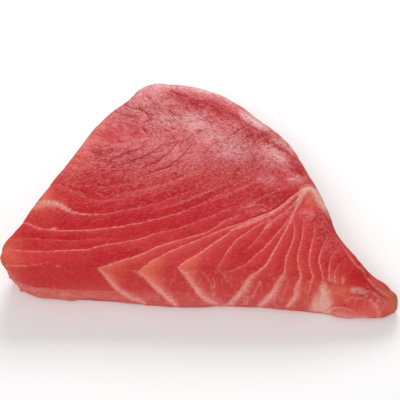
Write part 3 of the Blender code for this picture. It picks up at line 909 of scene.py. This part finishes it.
class Flesh:
    """The vertices of the fine surface, and what lies at each of them.

    upper, wall and under tell how far a vertex belongs to the upper face, to all but that face and to the
    underside; drop is how far it lies below the rim. broad, streaks and strands are noise from about -1
    to 1.
    """

    # How level the surface is where the upper face and the underside begin, and where they are whole
    UPPER = (0.35, 0.85)
    UNDER = (0.35, 0.8)

    # From where to where along x, y or z an effect grows
    STRAND_RISE = (-40.0, 0.0)
    LEAN_RISE = (7.0, -7.0)
    ROUGH_RISE = (-52.0, 14.0)
    BLOOM_AND_SHEEN_RISE = (-16.0, 30.0)
    STRIP_RISE = (-22.0, -44.0)
    RAGGED_RISE = (-68.0, -78.0)
    CONTACT_SHADOW_RISE = (1.9, 0.5)

    # Height and size of the noise that sways the places, and the shape and size of the upright strands
    SWAY = ((0.30, 5.0), (0.20, 1.7))
    STRAND_SCALE = (1.0, 1.0, 0.2)
    STRAND_SIZE = 1.1

    # Heights and half widths in the relief
    FLAKE_ROUNDING = 1.6
    GROOVE_HALF_WIDTH = 0.6
    FINE_HEIGHT = 0.14
    BROAD_HEIGHT = 0.12
    BROAD_HEIGHT_ROUGH = 0.16
    TISSUE_HEIGHT = 0.30
    RAGGED_HEIGHT = 0.4

    def __init__(self, mesh):
        self.mesh = mesh
        self.spots = read_vectors(mesh.vertices, "co") / MM
        self.normals = read_vectors(mesh.vertex_normals, "vector")
        self.plan = self.spots[:, :2]
        self.outline = Outline(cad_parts[NODE])
        station = self.outline.nearest(self.plan)
        self.drop = np.maximum(0.0, self.outline.rim[station] - self.spots[:, 2])
        self.under = smooth_step(*self.UNDER, -self.normals[:, 2])
        self.upper = smooth_step(*self.UPPER, self.normals[:, 2])
        self.wall = 1.0 - self.upper
        self.below = self.under > 0.5
        self.over = ~self.below
        self.rolled_out = self.plan + self.outline.outward[station] * (self.drop * self.over)[:, None]
        self.wobble = np.column_stack([
            sum(height * noise_field(self.spots, size, seed + step)
                for step, (height, size) in enumerate(self.SWAY))
            for seed in (1, 3)])
        self.broad = noise_field(self.spots, 6.0, 8)
        self.strands = noise_field(self.spots * self.STRAND_SCALE, self.STRAND_SIZE, 21)
        self.read_seams()
        self.read_cuts()
        self.read_strokes()
        self.read_textures()
        self.read_tints()

    def rolled(self, sway):
        """The places on the rolled-out surface, swayed so that nothing drawn on them runs too straight."""
        return self.rolled_out + sway * self.wobble

    def flat(self, sway):
        """The places in the plan, swayed in the same way."""
        return self.plan + sway * self.wobble

    def read_seams(self):
        seams = SEAMS + tuple(self.outline.rear_seams())
        places = self.rolled(1.0)
        self.seams = seam_fields(places, seams)
        for name, values in seam_fields(places[self.below], seams, under=True).items():
            self.seams[name][self.below] = values

    def read_cuts(self):
        """The cracks and flake edges, and the trough inside the rear rim."""
        self.cuts = Cuts(len(self.spots))
        self.cuts.cut_steps(self.rolled(1.2), STEPS)
        self.cuts.cut_cracks(self.rolled(0.7), strewn_creases())
        self.cuts.cut_cracks(self.rolled(0.8), CRACKS)
        self.trough = np.zeros(len(self.spots))
        chosen, _share, offset, past = Line(TROUGH).near(self.flat(3.0))
        self.trough[chosen] = np.exp(-(np.hypot(offset, past) / TROUGH_HALF_WIDTH) ** 2)
        self.trough *= self.upper

    def read_strokes(self):
        """The fat, the tissue and the skin, partly painted highlight. In the wall the strands break them
        up.
        """
        self.fat_and_highlight = stroke_field(self.rolled(1.0), FAT_AND_HIGHLIGHT_STROKES) * self.over
        self.fat_and_highlight *= 1.0 + 0.45 * self.wall * self.strands
        tissue = np.maximum(stroke_field(self.rolled(0.8), TISSUE_STROKES), self.seams["band"])
        tissue = np.maximum(tissue, stroke_field(self.rolled_out, THREADS)) * self.over
        tissue += (
            0.30 * smooth_step(0.1, 0.7, self.strands) * self.wall * self.over
            * smooth_step(*self.STRAND_RISE, self.plan[:, 0]))
        self.tissue = tissue
        # Some skin strokes are painted highlight and sheen on the rolled rear rim and the face inside it
        skin = stroke_field(self.rolled(1.0), SKIN_AND_SHEEN_STROKES)
        self.skin = np.maximum(skin, self.seams["pale"]) * self.over

    def read_textures(self):
        """The lean of the fibres, the sheen and the roughness of the upper face."""
        x, y = self.plan.T
        self.turned = smooth_step(*self.LEAN_RISE, y - np.interp(x, *WHORL_LINE))
        self.streaks = fibre_streaks(self.spots, LEAN_ABOVE + (LEAN_BELOW - LEAN_ABOVE) * self.turned)
        self.sheen = spots_field(self.flat(5.0), SHEEN_SPOTS) * self.upper * (1.0 - 0.6 * self.trough)
        smooth = np.clip(spots_field(self.flat(2.0), SMOOTH_SPOTS), 0.0, 1.0)
        rough = np.maximum(spots_field(self.plan, ROUGH_SPOTS), 0.55 * smooth_step(*self.ROUGH_RISE, y))
        self.rough = np.maximum(rough * self.upper, 0.15) * (1.0 - smooth)

    def read_tints(self):
        """How far each colour is laid over the flesh, from 0 to about 1."""
        x, y = self.plan.T
        after = self.seams["after"]
        grain = self.streaks * self.rough
        # Pink bloom over the back of the upper face and in the spots, partly the flesh's tone, partly a
        # painted sheen
        bloom_and_sheen = 0.92 * smooth_step(*self.BLOOM_AND_SHEEN_RISE, y + 6.0 * self.broad) * self.upper
        bloom_and_sheen = np.maximum(bloom_and_sheen, spots_field(self.rolled(4.0), BLOOM_AND_SHEEN_SPOTS))
        # The trough is painted a deeper red and kept clear of the painted sheen, as painted shade where it
        # turns from the light
        red_and_shade = np.clip(spots_field(self.flat(4.0), RED_SPOTS) + 0.85 * self.trough, 0.0, 1.0)
        red_and_shade = smooth_step(0.15, 0.85, red_and_shade + 0.35 * self.streaks) * (red_and_shade > 0.02)
        bloom_and_sheen = bloom_and_sheen * (1.0 - 0.72 * red_and_shade) + 0.16 * grain
        self.bloom_and_sheen = np.clip(bloom_and_sheen, 0.0, 1.0) * self.over

        beside = self.seams["glow"] * (
            1.1 * spots_field(self.rolled_out, GLOW_SPOTS) * np.exp(-np.maximum(after - 2.0, 0.0) / 4.5)
            + 0.45 * np.exp(-after / 1.5))
        cool = 0.7 * np.clip(spots_field(self.rolled_out, (TAIL_RED,)), 0, 1)
        self.warm = np.maximum(spots_field(self.rolled(4.0), WARM_SPOTS), beside) * (1.0 - cool)
        deep = 0.40 * smooth_step(0.0, 0.8, self.seams["share"])
        deep = deep + 0.75 * spots_field(self.rolled_out, DEEP_SPOTS)
        deep = np.clip(deep + 0.25 * self.broad + 0.35 * red_and_shade - 0.2 * grain, 0.0, 1.0)
        self.deep = deep * (0.55 + 0.45 * self.upper)

        softness = np.interp(x, *STRIP_SOFTNESS)
        below_top = self.drop - np.interp(x, *STRIP_TOP) + 0.4 * self.broad
        strip = smooth_step(-softness, softness, below_top) * self.wall * self.over
        strip *= np.interp(x, *STRIP_STRENGTH)
        self.strip = strip * smooth_step(*self.STRIP_RISE, y + 4.0 * self.broad)
        # A painted contact shadow, darker towards the floor
        self.contact_shadow = smooth_step(*self.CONTACT_SHADOW_RISE, self.spots[:, 2]) * self.over
        self.brown = spots_field(self.flat(2.0), BROWN_SPOTS)

    def relief(self, sizes):
        """How far each vertex moves out along its normal: flakes, grooves, grain, swellings and dents."""
        flake = 1.0 - np.exp(-self.seams["crown"] / self.FLAKE_ROUNDING)
        relief = sizes.flake_crown * (flake - 0.5) * (1.0 - 0.7 * self.under)
        groove = np.exp(-(self.seams["offset"] / self.GROOVE_HALF_WIDTH) ** 2)
        relief -= sizes.seam_depth * groove * self.seams["strength"]
        relief -= self.cuts.depth * self.over
        relief -= sizes.trough_depth * self.trough
        relief += sizes.grain_height * self.rough * self.streaks
        relief += self.FINE_HEIGHT * self.rough * fractal_field(self.spots, 2.6, 3, 5)
        relief += (self.BROAD_HEIGHT + self.BROAD_HEIGHT_ROUGH * self.rough) * self.broad
        relief += self.TISSUE_HEIGHT * self.tissue * self.upper * (1.0 + 0.6 * self.streaks)
        relief += spots_field(self.rolled_out, SWELLINGS, np.add) * self.over
        ragged = smooth_step(*self.RAGGED_RISE, self.plan[:, 0]) * self.wall * self.over
        return relief + self.RAGGED_HEIGHT * ragged * noise_field(self.spots, 3.2, 12)

    def shape(self, sizes):
        """Moves the vertices, never below the floor, and stores what the colours need."""
        spots = self.spots + self.normals * self.relief(sizes)[:, None]
        spots[:, 2] = np.maximum(spots[:, 2], 0.0)
        self.mesh.vertices.foreach_set("co", (spots * MM).astype(np.float32).ravel())
        self.mesh.update()
        for name in ("offset", "half_width", "strength"):
            store(self.mesh, "seam_" + name, self.seams[name])
        store(self.mesh, "crack_offset", self.cuts.offset)
        store(self.mesh, "crack_shade", self.cuts.painted_shade * self.over)
        store(self.mesh, "lean", self.turned)
        for name in (
                "deep", "warm", "bloom_and_sheen", "sheen", "rough", "skin", "fat_and_highlight", "tissue", "strip", "brown",
                "contact_shadow"):
            store(self.mesh, name, getattr(self, name))


class Nodes:
    """Short calls for laying shader nodes in a tree."""

    # Which sockets of a Mix node hold colours
    MIX_COLOURS = (6, 7)
    MIX_RESULT = 2

    def __init__(self, tree):
        self.tree = tree

    def new(self, kind, **settings):
        node = self.tree.nodes.new(kind)
        for name, value in settings.items():
            setattr(node, name, value)
        return node

    def put(self, socket, value):
        if isinstance(value, bpy.types.NodeSocket):
            self.tree.links.new(value, socket)
        else:
            socket.default_value = value

    def attribute(self, name):
        return self.new("ShaderNodeAttribute", attribute_name=name).outputs["Fac"]

    def math(self, operation, first, second=0.0):
        node = self.new("ShaderNodeMath", operation=operation)
        self.put(node.inputs[0], first)
        self.put(node.inputs[1], second)
        return node.outputs[0]

    def times(self, first, second):
        return self.math("MULTIPLY", first, second)

    def plus(self, first, second):
        return self.math("ADD", first, second)

    def most(self, first, second):
        return self.math("MAXIMUM", first, second)

    def ramp(self, value, low, high, from_value=0.0, to_value=1.0):
        """Runs smoothly from one value to another as the given one goes from low to high."""
        node = self.new("ShaderNodeMapRange", interpolation_type="SMOOTHSTEP")
        names = ("Value", "From Min", "From Max", "To Min", "To Max")
        for name, given in zip(names, (value, low, high, from_value, to_value)):
            self.put(node.inputs[name], given)
        return node.outputs["Result"]

    def mix(self, share, first, second):
        """Blends two colours; the share is held between 0 and 1."""
        node = self.new("ShaderNodeMix", data_type="RGBA", clamp_factor=True)
        self.put(node.inputs["Factor"], share)
        for index, value in zip(self.MIX_COLOURS, (first, second)):
            self.put(node.inputs[index], value)
        return node.outputs[self.MIX_RESULT]

    def blend(self, share, first, second):
        """Blends two plain values."""
        node = self.new("ShaderNodeMix", data_type="FLOAT")
        self.put(node.inputs[0], share)
        self.put(node.inputs[2], first)
        self.put(node.inputs[3], second)
        return node.outputs[0]

    def noise(self, vector, scale, detail):
        node = self.new("ShaderNodeTexNoise")
        self.put(node.inputs["Vector"], vector)
        self.put(node.inputs["Scale"], scale)
        self.put(node.inputs["Detail"], detail)
        return node.outputs["Fac"]

    def group(self, tree, **values):
        node = self.new("ShaderNodeGroup", node_tree=tree)
        for name, value in values.items():
            self.put(node.inputs[name.replace("_", " ")], value)
        return node.outputs


def group_tree(name, inputs, outputs):
    """An empty node group with its sockets: the tree, its short calls, what it is given and its result."""
    tree = bpy.data.node_groups.new(name, "ShaderNodeTree")
    for socket, kind in inputs:
        tree.interface.new_socket(socket, in_out="INPUT", socket_type="NodeSocket" + kind)
    for socket, kind in outputs:
        tree.interface.new_socket(socket, in_out="OUTPUT", socket_type="NodeSocket" + kind)
    nodes = Nodes(tree)
    given = nodes.new("NodeGroupInput").outputs
    result = nodes.new("NodeGroupOutput").inputs
    return tree, nodes, given, result


def seam_group():
    """Turns the offset from a seam into its pale line and the soft halo beside it."""
    tree, nodes, given, result = group_tree(
        "Seam", (("Offset", "Float"), ("Half Width", "Float"), ("Beads", "Float")),
        (("Line", "Float"), ("Halo", "Float")))
    away = nodes.math("ABSOLUTE", given["Offset"])
    width = nodes.times(given["Half Width"], nodes.ramp(given["Beads"], 0.3, 0.7, 0.7, 1.35))
    line = nodes.ramp(away, nodes.times(width, 0.2), nodes.times(width, 1.6), 1.0, 0.0)
    nodes.put(result["Line"], nodes.times(line, nodes.ramp(given["Beads"], 0.35, 0.6, 0.5, 1.05)))
    nodes.put(result["Halo"], nodes.math("POWER", math.e, nodes.times(away, -1.1)))
    return tree


def crack_group():
    """Turns the offset from a crack into its line of painted shade and the painted highlight on the lip on
    its right.
    """
    tree, nodes, given, result = group_tree(
        "Crack", (("Offset", "Float"), ("Darkness", "Float")), (("Line", "Float"), ("Lip Highlight", "Float")))
    line = nodes.ramp(nodes.math("ABSOLUTE", given["Offset"]), 0.45, 1.6, 1.0, 0.0)
    nodes.put(result["Line"], nodes.times(line, given["Darkness"]))
    lip = nodes.times(
        nodes.ramp(given["Offset"], 0.8, 1.8), nodes.ramp(given["Offset"], 2.2, 4.0, 1.0, 0.0))
    nodes.put(result["Lip Highlight"], nodes.times(lip, given["Darkness"]))
    return tree


def grain_group():
    """Fibre grain that leans one way above the whorl and the other below it.

    Coarse, Fine and Speck are ever finer noise. Relief Light tells which side of a fine ridge a point is
    on, for painted light on one side and painted shade on the other, and Crease is thin broken lines along
    the fibres, drawn in painted shade.
    """
    tree, nodes, given, result = group_tree(
        "Fibre Grain", (("Vector", "Vector"), ("Lean", "Float"), ("Scale", "Float")),
        (("Coarse", "Float"), ("Fine", "Float"), ("Speck", "Float"), ("Relief Light", "Float"),
        ("Crease", "Float")))

    def fibres(shift, finer, detail):
        moved = nodes.new("ShaderNodeVectorMath", operation="ADD")
        nodes.put(moved.inputs[0], given["Vector"])
        moved.inputs[1].default_value = shift
        values = []
        for lean in (LEAN_ABOVE, LEAN_BELOW):
            turned = nodes.new("ShaderNodeMapping", vector_type="TEXTURE")
            turned.inputs["Rotation"].default_value = (0.0, 0.0, lean)
            turned.inputs["Scale"].default_value = (2.4, 0.8, 1.0)
            nodes.put(turned.inputs["Vector"], moved.outputs[0])
            scale = nodes.times(given["Scale"], finer)
            values.append(nodes.noise(turned.outputs["Vector"], scale, detail))
        return nodes.blend(given["Lean"], *values)

    coarse = fibres((0.0, 0.0, 0.0), 1.0, 2.0)
    fine = fibres((0.0, 0.0, 0.0), 3.4, 1.0)
    behind = fibres((0.0, RIDGE_STEP, 0.0), 3.4, 1.0)
    broken = nodes.ramp(fibres((0.1, 0.2, 0.3), 1.3, 1.0), 0.47, 0.56)
    line = nodes.ramp(nodes.math("ABSOLUTE", nodes.plus(coarse, -0.5)), 0.0, 0.045, 1.0, 0.0)
    speck = fibres((0.0, 0.0, 0.0), 6.0, 1.0)
    relief_light = nodes.math("SUBTRACT", behind, fine)
    for name, value in (
            ("Coarse", coarse), ("Fine", fine), ("Speck", speck), ("Relief Light", relief_light),
            ("Crease", nodes.times(line, broken))):
        nodes.put(result[name], value)
    return tree


def rgba(colour):
    return (*colour, 1.0)


def bump(nodes, height, distance):
    node = nodes.new("ShaderNodeBump")
    node.inputs["Strength"].default_value = 1.0
    node.inputs["Distance"].default_value = distance
    nodes.put(node.inputs["Height"], height)
    return node.outputs["Normal"]


def flesh_material(colours):
    material = bpy.data.materials.new("raw_tuna_flesh")
    material.use_nodes = True
    tree = material.node_tree
    shader = tree.nodes["Principled BSDF"]
    nodes = Nodes(tree)
    place = nodes.new("ShaderNodeTexCoord").outputs["Object"]
    grain = nodes.group(grain_group(), Vector=place, Lean=nodes.attribute("lean"), Scale=GRAIN_SCALE)
    coarse, fine, speck = grain["Coarse"], grain["Fine"], grain["Speck"]
    rough = nodes.attribute("rough")
    strength = nodes.attribute("seam_strength")
    seam = nodes.group(
        seam_group(), Offset=nodes.attribute("seam_offset"), Half_Width=nodes.attribute("seam_half_width"),
        Beads=fine)
    crack = nodes.group(
        crack_group(), Offset=nodes.attribute("crack_offset"), Darkness=nodes.attribute("crack_shade"))

    def paint(under, share, tint):
        return nodes.mix(share, under, rgba(tint))

    def broken(name, detail, *limits):
        """A stored field, broken up by the grain."""
        return nodes.times(nodes.attribute(name), nodes.ramp(detail, *limits))

    colour = paint(rgba(colours.flesh), nodes.attribute("deep"), colours.deep)
    colour = paint(colour, broken("warm", coarse, 0.25, 0.65, 0.75, 1.05), colours.warm)
    # Random tone in the grain, with painted light and shade on the two sides of its fine ridges
    grain_and_relief_light = nodes.plus(nodes.ramp(fine, 0.30, 0.70, -0.5, 0.5), nodes.ramp(speck, 0.30, 0.70, -0.5, 0.5))
    grain_and_relief_light = nodes.times(rough, nodes.plus(grain_and_relief_light, nodes.times(grain["Relief Light"], 2.0)))
    # Pink bloom, partly a painted sheen, with the lit side of the painted relief
    bloom_and_sheen = nodes.plus(nodes.times(nodes.attribute("bloom_and_sheen"), 0.48), nodes.times(grain_and_relief_light, 0.6))
    colour = paint(colour, bloom_and_sheen, colours.pink_and_sheen)
    halo = nodes.times(nodes.times(seam["Halo"], strength), 0.14)
    colour = paint(colour, nodes.plus(nodes.ramp(fine, 0.5, 0.75, 0.0, 0.05), halo), colours.seam)
    # These layers include the painted sheen and the painted highlights in the skin and fat
    for name, detail, limits, tint in LAYERS:
        colour = paint(colour, broken(name, grain[detail], *limits), getattr(colours, tint))
    colour = paint(colour, nodes.times(seam["Line"], strength), colours.seam)
    # A painted highlight on the lip beside each crack
    colour = paint(colour, nodes.times(crack["Lip Highlight"], 0.15), colours.skin)
    # Dark pits, and painted shade: the thin creases, the shaded side of the relief, the cracks and steps,
    # and the contact shadow
    pits_and_painted_shade = nodes.most(nodes.ramp(speck, 0.58, 0.68, 0.0, 0.55), nodes.times(grain["Crease"], 0.6))
    pits_and_painted_shade = nodes.most(nodes.times(rough, pits_and_painted_shade), nodes.times(nodes.attribute("contact_shadow"), 0.55))
    pits_and_painted_shade = nodes.most(nodes.most(pits_and_painted_shade, nodes.times(grain_and_relief_light, -0.6)), crack["Line"])
    colour = paint(colour, pits_and_painted_shade, colours.crease_shade)
    colour = paint(colour, nodes.attribute("brown"), colours.brown)
    nodes.put(shader.inputs["Base Color"], colour)

    height = nodes.plus(nodes.times(speck, 0.35), nodes.times(fine, 0.65))
    height = nodes.times(height, nodes.ramp(rough, 0.05, 0.9, 0.08, 1.0))
    height = nodes.math("SUBTRACT", height, nodes.times(pits_and_painted_shade, 0.06))
    nodes.put(shader.inputs["Normal"], bump(nodes, height, GRAIN_DEPTH))
    drawn_out = nodes.new("ShaderNodeMapping")
    drawn_out.inputs["Scale"].default_value = (0.5, 1.1, 1.0)
    nodes.put(drawn_out.inputs["Vector"], place)
    film = nodes.noise(drawn_out.outputs["Vector"], FILM_SCALE, 2.0)
    nodes.put(shader.inputs["Coat Normal"], bump(nodes, film, FILM_DEPTH))
    nodes.put(shader.inputs["Roughness"], nodes.ramp(coarse, 0.3, 0.7, 0.36, 0.48))
    nodes.put(shader.inputs["Coat Weight"], nodes.ramp(nodes.attribute("sheen"), 0.25, 1.0, 0.0, 0.8))
    for socket, value in (
            ("Coat Roughness", 0.18), ("Specular IOR Level", 0.03), ("Subsurface Weight", 0.12),
            ("Subsurface Radius", (1.0, 0.3, 0.2)), ("Subsurface Scale", 0.0010)):
        shader.inputs[socket].default_value = value
    return material


def area_light(name, place, target, width, depth, power, gloss_only):
    """A soft light. A card that is only there to be reflected lights nothing else."""
    light = bpy.data.lights.new(name, "AREA")
    light.shape = "RECTANGLE"
    light.size = width
    light.size_y = depth
    light.energy = power
    lamp = bpy.data.objects.new(name, light)
    lamp.location = place
    lamp.rotation_euler = (Vector(target) - Vector(place)).to_track_quat("-Z", "Y").to_euler()
    lamp.visible_camera = False
    lamp.visible_diffuse = not gloss_only
    bpy.context.scene.collection.objects.link(lamp)


class STEAK_OT_flesh(bpy.types.Operator):
    """Build the steak's flesh over its plain solid"""

    bl_idname = "steak.flesh"
    bl_label = "Build Flesh"

    def execute(self, context):
        scene = context.scene
        sizes = scene.steak_sizes
        piece = fine_piece(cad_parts[NODE], sizes.mesh_step, sizes.smoothing)
        if len(piece.data.vertices) == 0:
            raise RuntimeError("the flesh came out empty")
        Flesh(piece.data).shape(sizes)
        piece.data.shade_smooth()
        piece.data.materials.append(flesh_material(scene.steak_colours))
        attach(piece, BODY)
        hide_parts(NODE)
        return {"FINISHED"}


class STEAK_OT_stage(bpy.types.Operator):
    """Lay the floor and set the lights and the camera"""

    bl_idname = "steak.stage"
    bl_label = "Build Stage"

    def execute(self, context):
        scene = context.scene
        sizes = scene.steak_stage
        self.lay_floor(scene, sizes)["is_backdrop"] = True
        self.hang_lights()
        self.set_world(scene)
        self.place_camera(scene, sizes)
        if scene.camera is None:
            raise RuntimeError("the stage has no camera")
        return {"FINISHED"}

    def lay_floor(self, scene, sizes):
        form = bmesh.new()
        bmesh.ops.create_grid(form, x_segments=1, y_segments=1, size=sizes.floor_size / 2)
        mesh = bpy.data.meshes.new("floor")
        form.to_mesh(mesh)
        form.free()
        floor = bpy.data.objects.new("floor", mesh)
        floor.location.z = -FLOOR_DROP
        material = bpy.data.materials.new("floor")
        material.use_nodes = True
        shader = material.node_tree.nodes["Principled BSDF"]
        shader.inputs["Base Color"].default_value = rgba(sizes.floor_colour)
        shader.inputs["Roughness"].default_value = 0.9
        shader.inputs["Specular IOR Level"].default_value = 0.1
        mesh.materials.append(material)
        scene.collection.objects.link(floor)
        return floor

    def hang_lights(self):
        for light in LIGHTS:
            area_light(*light)

    def set_world(self, scene):
        world = bpy.data.worlds.new("studio")
        world.use_nodes = True
        background = world.node_tree.nodes["Background"]
        background.inputs["Color"].default_value = (1.0, 1.0, 1.0, 1.0)
        background.inputs["Strength"].default_value = WORLD_LIGHT
        scene.world = world
        scene.view_settings.view_transform = "Standard"

    def place_camera(self, scene, sizes):
        camera = bpy.data.cameras.new("camera")
        camera.lens = sizes.lens
        camera.sensor_width = SENSOR_WIDTH
        holder = bpy.data.objects.new("camera", camera)
        aim = Vector(CAMERA_AIM)
        back = Vector((0.0, -math.cos(sizes.elevation), math.sin(sizes.elevation)))
        holder.location = aim + back * sizes.distance
        holder.rotation_euler = (-back).to_track_quat("-Z", "Y").to_euler()
        scene.collection.objects.link(holder)
        scene.camera = holder


class STEAK_PT_panel(bpy.types.Panel):
    """Builds the steak and its stage from the sidebar"""

    bl_idname = "STEAK_PT_panel"
    bl_label = "Tuna Steak"
    bl_space_type = "VIEW_3D"
    bl_region_type = "UI"
    bl_category = "Tuna Steak"

    def draw(self, context):
        layout = self.layout
        for setting in SETTINGS:
            group = getattr(context.scene, setting)
            column = layout.column(align=True)
            for name in group.bl_rna.properties.keys():
                if name not in ("rna_type", "name"):
                    column.prop(group, name)
        layout.operator("steak.flesh")
        layout.operator("steak.stage")


SETTINGS = {"steak_sizes": SteakSizes, "steak_colours": SteakColours, "steak_stage": StageSizes}
CLASSES = (*SETTINGS.values(), STEAK_OT_flesh, STEAK_OT_stage, STEAK_PT_panel)


def register():
    for kind in CLASSES:
        bpy.utils.register_class(kind)
    for name, kind in SETTINGS.items():
        setattr(bpy.types.Scene, name, PointerProperty(type=kind))


def unregister():
    for name in SETTINGS:
        delattr(bpy.types.Scene, name)
    for kind in reversed(CLASSES):
        bpy.utils.unregister_class(kind)


def main():
    register()
    bpy.ops.steak.flesh()
    bpy.ops.steak.stage()
    boxes = {"cad": CAD_BOX, "made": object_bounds()}
    {name: [list(corner) for corner in box] for name, box in boxes.items()}


if __name__ == "__main__":
    main()
